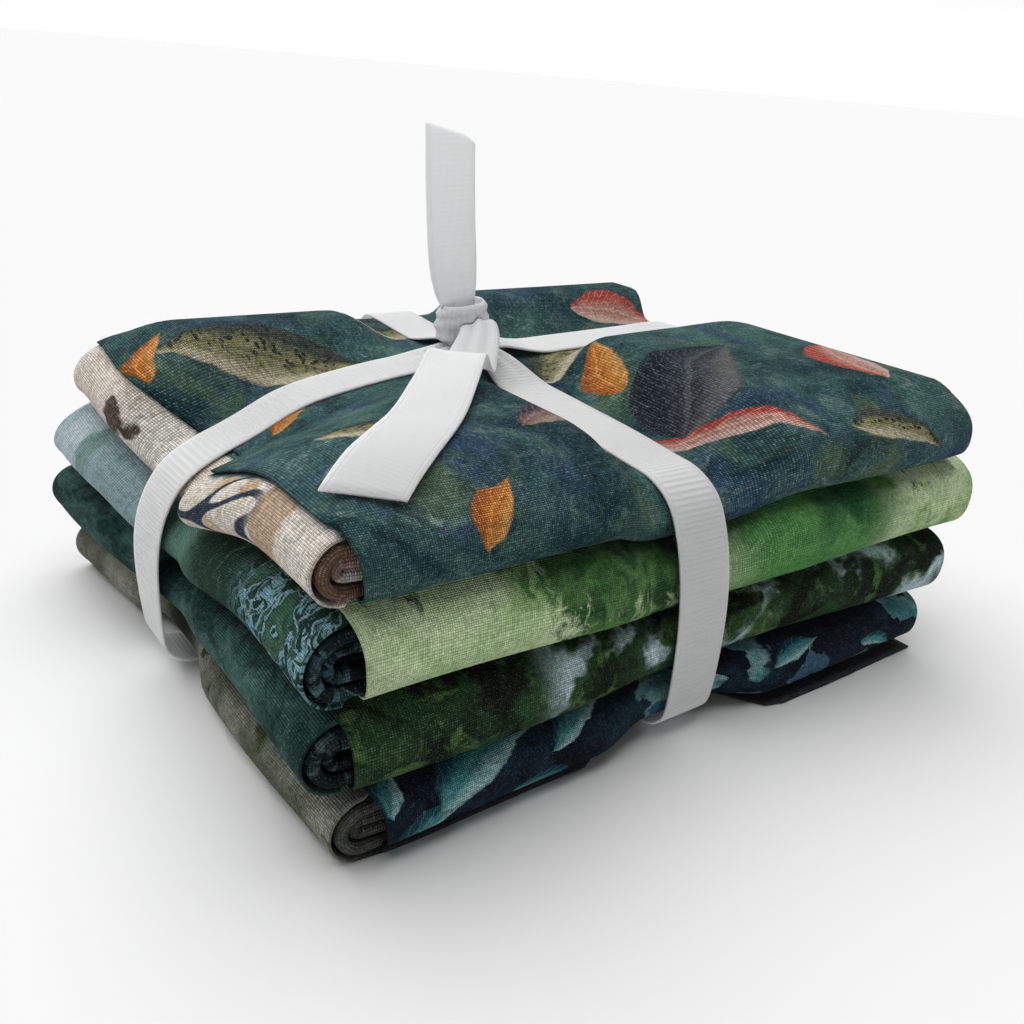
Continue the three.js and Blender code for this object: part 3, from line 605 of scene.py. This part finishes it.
def leaf_group():
    """A leaf in the flat coordinates. Inputs: Vector, X, Y, Angle, Length and Width. Outputs: Mask, 1 in
    the leaf, Along, 0 to 1 from stalk to tip, and Across, -1 to 1 from edge to edge. Its half width is
    width/2 sin(pi along^0.8) and its middle is bowed."""
    tree = bpy.data.node_groups.new("leaf", "ShaderNodeTree")
    face = tree.interface
    face.new_socket("Vector", in_out="INPUT", socket_type="NodeSocketVector")
    for name in ("X", "Y", "Angle", "Length", "Width"):
        face.new_socket(name, in_out="INPUT", socket_type="NodeSocketFloat")
    for name in ("Mask", "Along", "Across"):
        face.new_socket(name, in_out="OUTPUT", socket_type="NodeSocketFloat")
    inside, result = tree.nodes.new("NodeGroupInput"), tree.nodes.new("NodeGroupOutput")
    vector, x, y, angle, length, width = inside.outputs[:6]

    def calc(operation, *values):
        node = tree.nodes.new("ShaderNodeMath")
        node.operation = operation
        for k, value in enumerate(values):
            if isinstance(value, bpy.types.NodeSocket):
                tree.links.new(value, node.inputs[k])
            else:
                node.inputs[k].default_value = value
        return node.outputs[0]

    parts = tree.nodes.new("ShaderNodeSeparateXYZ")
    tree.links.new(vector, parts.inputs[0])
    dx, dy = calc("SUBTRACT", parts.outputs[0], x), calc("SUBTRACT", parts.outputs[1], y)
    cos, sin = calc("COSINE", angle), calc("SINE", angle)
    p = calc("ADD", calc("MULTIPLY", dx, cos), calc("MULTIPLY", dy, sin))
    q = calc("SUBTRACT", calc("MULTIPLY", dy, cos), calc("MULTIPLY", dx, sin))
    along = calc("ADD", calc("DIVIDE", p, length), 0.5)
    held = calc("MINIMUM", calc("MAXIMUM", along, 0.0), 1.0)
    bow = calc("MULTIPLY", calc("SINE", calc("MULTIPLY", held, math.pi)), calc("MULTIPLY", width, 0.3))
    q = calc("SUBTRACT", q, bow)
    profile = calc("SINE", calc("MULTIPLY", calc("POWER", held, 0.8), math.pi))
    half = calc("MAXIMUM", calc("MULTIPLY", calc("MULTIPLY", width, 0.5), profile), 0.01)
    inset = calc("SUBTRACT", half, calc("ABSOLUTE", q))
    mask = calc("MINIMUM", calc("MAXIMUM", calc("DIVIDE", calc("SUBTRACT", inset, 0.05), 0.5), 0.0), 1.0)
    for name, value in (("Mask", mask), ("Along", along), ("Across", calc("DIVIDE", q, half))):
        tree.links.new(value, result.inputs[name])
    return tree


LEAF = leaf_group()


def leaf(finish, colour, vector, x, y, angle, length, width, style):
    """Paints one leaf over a colour. Its style holds a belly, a body and a back colour across it, how
    many speckles it has, and the colour of its veins."""
    node = finish.add("ShaderNodeGroup", node_tree=LEAF)
    finish.links.new(vector, node.inputs["Vector"])
    sizes = {"X": x, "Y": y, "Angle": math.radians(angle), "Length": length, "Width": width}
    for key, value in sizes.items():
        node.inputs[key].default_value = value
    mask, along, across = node.outputs
    belly, body, back, speckles, vein = style
    washed = finish.noise(vector, 7, 4, 0.7, seed=x + y)
    shift = finish.math("MULTIPLY_ADD", washed, 0.9, finish.math("SUBTRACT", across, 0.45))
    tone = finish.mix(finish.rise(shift, -0.75, -0.1), belly, body)
    tone = finish.mix(finish.rise(shift, 0.1, 0.6), tone, back)
    if speckles:
        inputs = {"Vector": vector, "Scale": 0.62, "Randomness": 1.0}
        spots = finish.add("ShaderNodeTexVoronoi", inputs).outputs[0]
        dark = finish.both(finish.rise(spots, 0.42, 0.28), finish.rise(shift, -0.7, 0.1))
        tone = finish.mix(finish.math("MULTIPLY", dark, speckles), tone, (0.02, 0.025, 0.02))
    ribs = finish.math("SUBTRACT", finish.math("MULTIPLY", along, length / 2.6),
                       finish.math("MULTIPLY", finish.math("ABSOLUTE", across), width / 5))
    lines = finish.line(finish.math("FRACT", ribs), 0.5, 0.1, 0.0)
    middle = finish.rise(finish.math("ABSOLUTE", across), 0.09, 0.03)
    tone = finish.mix(finish.math("MULTIPLY", finish.math("MAXIMUM", lines, middle), 0.55), tone, vein)
    rim = finish.rise(finish.math("ABSOLUTE", across), 0.82, 1.0)
    tone = finish.mix(finish.math("MULTIPLY", rim, 0.5), tone, (0.03, 0.035, 0.03))
    return finish.mix(finish.math("MULTIPLY", mask, 0.95), colour, tone)


# belly, body and back colour, share of speckles, colour of the veins
SPECKLED = ((0.55, 0.5, 0.36), (0.26, 0.25, 0.12), (0.05, 0.06, 0.045), 1.0, (0.1, 0.1, 0.05))
ORANGE = ((0.62, 0.3, 0.08), (0.55, 0.17, 0.02), (0.35, 0.1, 0.02), 0.0, (0.7, 0.42, 0.15))
BLUSH = ((0.6, 0.42, 0.36), (0.5, 0.22, 0.17), (0.42, 0.06, 0.04), 0.0, (0.62, 0.5, 0.42))
MAUVE = ((0.35, 0.26, 0.2), (0.2, 0.13, 0.12), (0.05, 0.04, 0.06), 0.0, (0.4, 0.3, 0.2))
STORM = ((0.12, 0.12, 0.12), (0.035, 0.04, 0.05), (0.015, 0.02, 0.03), 0.0, (0.12, 0.14, 0.15))
PETAL = ((0.34, 0.56, 0.56), (0.06, 0.24, 0.26), (0.01, 0.06, 0.09), 0.0, (0.12, 0.34, 0.35))

TOP_LEAVES = [                                      # s, u, angle, length, width, style
    (34, 84, -24, 62, 15, SPECKLED), (20, 66, 20, 20, 8, ORANGE), (6, 98, 55, 16, 7, ORANGE),
    (112, 74, 28, 66, 20, SPECKLED), (95, 50, 70, 22, 9, ORANGE), (142, 96, -12, 40, 13, BLUSH),
    (147, 22, 64, 34, 16, BLUSH), (60, 18, 12, 34, 11, MAUVE), (84, 8, -30, 52, 10, BLUSH),
    (106, 26, 40, 46, 24, STORM), (18, 20, -38, 22, 10, SPECKLED), (28, -6, 52, 16, 8, ORANGE),
    (76, 104, 8, 44, 13, SPECKLED), (128, -8, -20, 30, 9, SPECKLED), (66, 58, -55, 18, 7, ORANGE),
]


def teal_print():
    """Top cloth: a deep teal wash with drifting leaves, and a cream ground with stems on its other end."""
    f = Finish("cotton_teal_print")
    wet = f.warped(f.flat, 22, 9)
    cloud, drift = f.noise(wet, 34, 6, 0.62), f.noise(wet, 9, 5, 0.7, seed=2.0)
    wash = f.mix(f.rise(cloud, 0.38, 0.6), (0.012, 0.045, 0.052), (0.05, 0.125, 0.115))
    wash = f.mix(f.rise(f.noise(wet, 42, 4, seed=7.0), 0.5, 0.64), wash, (0.035, 0.075, 0.125))
    wash = f.mix(f.rise(f.noise(wet, 30, 4, seed=8.0), 0.54, 0.66), wash, (0.075, 0.13, 0.075))
    wash = f.mix(f.math("MULTIPLY", f.rise(drift, 0.5, 0.72), 0.75), wash, (0.13, 0.215, 0.18))
    wash = f.mix(f.math("MULTIPLY", f.rise(drift, 0.5, 0.32), 0.7), wash, (0.006, 0.02, 0.024))
    streak = f.noise(f.stretched(wet, 0.22, 1, 0.45), 2.6, 5, 0.75, seed=4.0)
    streak = f.both(f.rise(streak, 0.55, 0.74), f.rise(cloud, 0.42, 0.58))
    wash = f.mix(f.math("MULTIPLY", streak, 0.8), wash, (0.3, 0.4, 0.36))
    line = f.warped(f.flat, 6, 1.2, seed=3.0)
    for s, u, angle, length, width, style in TOP_LEAVES:
        wash = leaf(f, wash, line, s, u, angle, length, width, style)
    # cream ground of the rolled end, with navy stems and a tan panel
    cream = f.mix(f.rise(f.noise(wet, 16, 4, seed=9.0), 0.4, 0.7), (0.66, 0.6, 0.52), (0.78, 0.75, 0.7))
    cream = f.mix(f.within(f.u, 13, 22, 0.6), cream, (0.5, 0.37, 0.26))
    tan = f.both(f.within(f.u, 22, 40, 3), f.rise(f.noise(wet, 9, 3, seed=11.0), 0.42, 0.5))
    cream = f.mix(tan, cream, (0.55, 0.38, 0.22))
    stems = f.noise(f.stretched(f.flat, 1.0, 0.6, 0.7), 20, 1, 0.4, 1.2, seed=13.0)
    stem = f.both(f.line(stems, 0.5, 0.03, 0.018), f.within(f.u, 22, 62, 3))
    cream = f.mix(stem, cream, (0.03, 0.045, 0.07))
    spot = f.rise(f.noise(line, 13, 3, 0.6, seed=16.0), 0.64, 0.68)
    cream = f.mix(f.both(spot, f.rise(f.u, 55, 64)), cream, (0.1, 0.075, 0.06))
    roll = 2 * half_length(PIECES[3])
    edge = f.math("ADD", f.s, f.math("MULTIPLY", drift, -6))
    ground = f.mix(f.rise(edge, roll - 1.5, roll), wash, cream)
    # inner layers: brown, then a rosy brown that pales
    brown = f.mix(f.noise(wet, 5, 4, 0.7, seed=20.0), (0.07, 0.04, 0.025), (0.22, 0.14, 0.09))
    rosy = f.mix(f.rise(f.noise(wet, 8, 3, seed=21.0), 0.45, 0.6), (0.36, 0.24, 0.2), (0.6, 0.58, 0.54))
    ground = f.mix(f.rise(f.u, 200, 210), ground, brown)
    ground = f.mix(f.rise(f.u, 440, 450), ground, rosy)
    return f.weave(ground, 1.0, 0.19)


def sage_print():
    """Second cloth: pale sage with soft dark green trees at the front, grey-blue on its rolled end."""
    f = Finish("cotton_sage_print")
    wet = f.warped(f.flat, 18, 7)
    cloud = f.noise(wet, 24, 5, 0.6)
    sage = f.mix(f.rise(cloud, 0.35, 0.65), (0.42, 0.6, 0.29), (0.68, 0.8, 0.52))
    grove = f.rise(f.noise(wet, 15, 4, 0.6, seed=2.5), 0.5, 0.62)
    sage = f.mix(f.both(grove, f.rise(f.s, 16, 40)), sage, (0.2, 0.36, 0.11))
    trees = f.noise(f.stretched(wet, 1.0, 0.28), 5.5, 5, 0.72, seed=2.0)
    dark = f.mix(f.rise(f.noise(wet, 8, 4, seed=3.0), 0.4, 0.65), (0.022, 0.07, 0.022), (0.1, 0.24, 0.07))
    where = f.math("ADD", f.within(f.s, 38, 74, 12), f.math("MULTIPLY", f.rise(f.u, -16, -4), 0.5))
    sage = f.mix(f.rise(f.math("ADD", trees, f.math("MULTIPLY", where, 0.3)), 0.68, 0.8), sage, dark)
    deep = f.mix(f.rise(cloud, 0.4, 0.62), (0.015, 0.09, 0.028), (0.11, 0.3, 0.09))
    sage = f.mix(f.within(f.s, 84, 128, 10), sage, deep)
    mist = f.mix(f.rise(f.noise(wet, 20, 4, seed=5.0), 0.4, 0.62), (0.28, 0.4, 0.42), (0.5, 0.6, 0.64))
    near = f.math("ADD", f.u, f.math("MULTIPLY_ADD", cloud, 40, -20))
    mist = f.mix(f.rise(near, 84, 66), mist, (0.09, 0.19, 0.15))
    mist = f.mix(f.rise(near, 60, 40), mist, (0.012, 0.04, 0.028))
    strokes = f.noise(f.stretched(wet, 0.4, 1.0, 0.5), 5.0, 4, 0.6, 1.5, seed=6.0)
    curve = f.line(strokes, 0.5, 0.04, 0.01)
    mist = f.mix(f.both(curve, f.rise(near, 34, 14)), mist, (0.2, 0.38, 0.44))
    mist = f.mix(f.both(f.rise(strokes, 0.5, 0.66), f.rise(near, 66, 40)), mist, (0.05, 0.13, 0.08))
    far = f.both(f.rise(f.noise(wet, 26, 3, seed=8.0), 0.5, 0.6), f.rise(f.u, 96, 108))
    mist = f.mix(far, mist, (0.05, 0.16, 0.1))
    ground = f.from_roll(PIECES[2], sage, mist)
    inner = f.mix(f.rise(strokes, 0.44, 0.6), (0.006, 0.016, 0.014), (0.07, 0.15, 0.17))
    ground = f.mix(f.rise(f.u, *INSIDE), ground, inner)
    return f.weave(ground, 0.75, 0.1)


def forest_print():
    """Third cloth: dark olive and green foliage with pale blue clearings; deep teal on its rolled end."""
    f = Finish("cotton_forest_print")
    wet = f.warped(f.flat, 14, 7)
    cloud, leaves = f.noise(wet, 20, 5, 0.6), f.noise(wet, 7, 4, 0.7, seed=2.0)
    green = f.mix(f.rise(cloud, 0.38, 0.62), (0.006, 0.012, 0.005), (0.03, 0.085, 0.03))
    green = f.mix(f.rise(leaves, 0.52, 0.62), green, (0.07, 0.14, 0.045))
    green = f.mix(f.both(f.rise(leaves, 0.62, 0.68), f.rise(cloud, 0.5, 0.6)), green, (0.2, 0.26, 0.12))
    pale = f.rise(f.noise(wet, 22, 4, 0.55, seed=24.0), 0.53, 0.62)
    green = f.mix(f.both(pale, f.rise(f.s, 34, 44)), green, (0.52, 0.68, 0.72))
    green = f.mix(f.rise(f.noise(wet, 16, 3, seed=12.0), 0.54, 0.62), green, (0.006, 0.01, 0.004))
    drift = f.noise(f.stretched(wet, 1, 0.3, 0.5), 9, 4, 0.6, seed=6.0)
    teal = f.mix(f.rise(drift, 0.4, 0.65), (0.008, 0.035, 0.03), (0.06, 0.14, 0.12))
    ground = f.from_roll(PIECES[1], green, teal)
    inner = f.mix(f.rise(leaves, 0.45, 0.6), (0.006, 0.016, 0.015), (0.1, 0.15, 0.15))
    ground = f.mix(f.rise(f.u, *INSIDE), ground, inner)
    return f.weave(ground, 1.0, 0.08)


NAVY_PETALS = [                                     # s, u, angle, length, width
    (10, -18, 35, 17, 9), (23, -8, 25, 25, 13), (37, -19, -15, 18, 7), (45, -6, 30, 18, 8),
    (4, -5, 70, 12, 6), (104, -8, 15, 16, 6), (132, -14, -20, 14, 5),
]


def navy_print():
    """Bottom cloth: near-black navy with teal petals, and a stone ground with olive blotches on its
    roll; past the roll its lower half is painted dark grey as shade under the stack."""
    f = Finish("cotton_navy_print")
    wet = f.warped(f.flat, 12, 5)
    cloud = f.noise(wet, 16, 5, 0.6)
    night = f.mix(f.rise(cloud, 0.4, 0.65), (0.003, 0.006, 0.012), (0.012, 0.035, 0.055))
    cells = f.add("ShaderNodeTexVoronoi", {"Vector": wet, "Scale": 1 / 12.0, "Randomness": 0.9})
    tint = f.split(cells.outputs["Color"])
    petal = f.rise(f.noise(wet, 6, 4, 0.6, seed=3.0), 0.35, 0.65)
    petal = f.mix(petal, (0.05, 0.2, 0.22), (0.24, 0.44, 0.44))
    shape = f.both(f.rise(cells.outputs[0], 0.52, 0.46), f.rise(tint[0], 0.55, 0.6))
    night = f.mix(shape, night, petal)
    blue = f.both(f.rise(cells.outputs[0], 0.42, 0.36), f.rise(tint[1], 0.7, 0.72))
    night = f.mix(blue, night, (0.05, 0.12, 0.2))
    ragged = f.warped(f.flat, 7, 1.6, seed=4.0)
    for s, u, angle, length, width in NAVY_PETALS:
        night = leaf(f, night, ragged, s, u, angle, length, width, PETAL)
    stone = f.mix(f.rise(f.noise(wet, 18, 4, seed=5.0), 0.4, 0.65), (0.1, 0.11, 0.075), (0.3, 0.3, 0.26))
    stone = f.mix(f.rise(f.noise(wet, 10, 4, 0.65, seed=6.0), 0.56, 0.66), stone, (0.05, 0.06, 0.025))
    ground = f.from_roll(PIECES[0], night, stone)
    # painted shade: from where the lower half comes out of the roll, the cloth is painted dark grey as the
    # shade under the stack
    painted_shade_start = 2 * half_length(PIECES[0]) + 14           # where the lower half comes out of the roll
    ground = f.mix(f.rise(f.s, painted_shade_start, painted_shade_start + 8), ground, (0.05, 0.05, 0.055))
    inner = f.mix(cloud, (0.01, 0.016, 0.016), (0.16, 0.16, 0.14))
    ground = f.mix(f.rise(f.u, *INSIDE), ground, inner)
    return f.weave(ground, 1.0, 0.07)


def grosgrain():
    """White grosgrain: ribs across the ribbon between two fine woven edges, with painted highlight on the
        ribs' crests and painted shade in the grooves and along a line near each edge.
    """
    f = Finish("ribbon_white_grosgrain", 0.7)
    f.shader.inputs["Subsurface Weight"].default_value = 1.0
    f.shader.inputs["Subsurface Radius"].default_value = (1.0, 1.0, 1.0)
    f.shader.inputs["Subsurface Scale"].default_value = 2.5 * MM
    edge = f.rise(f.math("ABSOLUTE", f.u), 5.3, 5.6)
    rib = f.math("SINE", f.math("MULTIPLY", f.s, 2 * math.pi / RIB))
    rib = f.math("MULTIPLY", f.math("MULTIPLY_ADD", rib, 0.5, 0.5), f.math("SUBTRACT", 1.0, edge))
    loose = f.rise(f.s, LOOSE_START, LOOSE_START + 1)
    rib = f.math("MULTIPLY", rib, f.math("MULTIPLY_ADD", loose, -0.75, 1.0))
    cord = f.math("MULTIPLY", f.line(f.math("ABSOLUTE", f.u), 5.4, 0.25, 0.0), 0.6)
    threads = f.math("SINE", f.math("MULTIPLY", f.u, 2 * math.pi / EDGE_THREAD))
    fine = f.math("MULTIPLY", threads, 0.1)
    high = f.math("ADD", f.math("SUBTRACT", rib, cord), fine)
    # painted highlight and painted shade: the colour follows the height, lighter on the ribs' crests,
    # darker in the grooves and along the line near each edge
    tone = f.mix(f.math("MULTIPLY_ADD", high, 0.16, 0.78), (0.66, 0.67, 0.7), (0.88, 0.89, 0.91))
    return f.finished(tone, high, 0.16)


# ---- camera, floor and light ---------------------------------------------------------------------

FLOOR_REACH = 4000.0                                # in m, so that its far edge is at the horizon
FLOOR_PALE = 0.84
SUN_STRENGTH, SUN_SPREAD, SUN_WAY = 3.35, 80, (0.05, -0.35, -1)
SURROUND = (0.06, 0.3, 1.0, 0.1)                    # two heights of the sky, and its strength at each

def camera(azimuth, elevation, roll, lens, place):
    """A camera at a place in mm that looks down the given azimuth and elevation, leaned by roll."""
    a, e, r = (math.radians(v) for v in (azimuth, elevation, roll))
    back = Vector((math.sin(a) * math.cos(e), -math.cos(a) * math.cos(e), math.sin(e)))
    right = (-back).cross(Vector((0, 0, 1))).normalized()
    up = right.cross(-back)
    across, along = right * math.cos(r) + up * math.sin(r), up * math.cos(r) - right * math.sin(r)
    data = bpy.data.cameras.new("camera")
    data.lens, data.sensor_width = lens, 36.0
    data.clip_start, data.clip_end = 0.01, 10000.0
    obj = bpy.data.objects.new("camera", data)
    bpy.context.collection.objects.link(obj)
    turn = Matrix((across, along, back)).transposed()
    obj.matrix_world = Matrix.Translation(Vector((np.array(place) - MIDDLE) * MM)) @ turn.to_4x4()
    bpy.context.scene.camera = obj


def floor():
    """A plain pale floor."""
    mesh = bpy.data.meshes.new("floor")
    corners = [(x * FLOOR_REACH, y * FLOOR_REACH, 0) for x, y in ((-1, -1), (1, -1), (1, 1), (-1, 1))]
    mesh.from_pydata(corners, [], [(0, 1, 2, 3)])
    obj = bpy.data.objects.new("floor", mesh)
    bpy.context.collection.objects.link(obj)
    material = bpy.data.materials.new("floor_white")
    material.use_nodes = True
    shader = material.node_tree.nodes["Principled BSDF"]
    shader.inputs["Base Color"].default_value = (FLOOR_PALE, FLOOR_PALE, FLOOR_PALE, 1)
    shader.inputs["Roughness"].default_value = 0.9
    shader.inputs["Specular IOR Level"].default_value = 0.0
    mesh.materials.append(material)


def light():
    """A wide overhead light, a little from behind, and a surround that is bright at the horizon alone."""
    data = bpy.data.lights.new("overhead", "SUN")
    data.energy, data.angle = SUN_STRENGTH, math.radians(SUN_SPREAD)
    obj = bpy.data.objects.new("overhead", data)
    obj.rotation_euler = Vector(SUN_WAY).to_track_quat("-Z", "Y").to_euler()
    bpy.context.collection.objects.link(obj)
    world = bpy.data.worlds.new("surround")
    bpy.context.scene.world = world
    world.use_nodes = True
    nodes, links = world.node_tree.nodes, world.node_tree.links
    ray, parts = nodes.new("ShaderNodeTexCoord"), nodes.new("ShaderNodeSeparateXYZ")
    fall = nodes.new("ShaderNodeMapRange")
    fall.interpolation_type = "SMOOTHSTEP"
    for k, value in enumerate(SURROUND, start=1):
        fall.inputs[k].default_value = value
    links.new(ray.outputs["Generated"], parts.inputs[0])
    links.new(parts.outputs[2], fall.inputs[0])
    links.new(fall.outputs[0], nodes["Background"].inputs["Strength"])
    nodes["Background"].inputs["Color"].default_value = (1, 1, 1, 1)
    bpy.context.scene.view_settings.view_transform = "Standard"


camera(-37.9, 22.7, 5.03, 36.81, (-142.7, -183.4, 120.1))
prints = [navy_print(), forest_print(), sage_print(), teal_print()]
cloths = [cloth(piece, material) for piece, material in zip(PIECES, prints)]
tie = ribbon(grosgrain())

floor()
light()
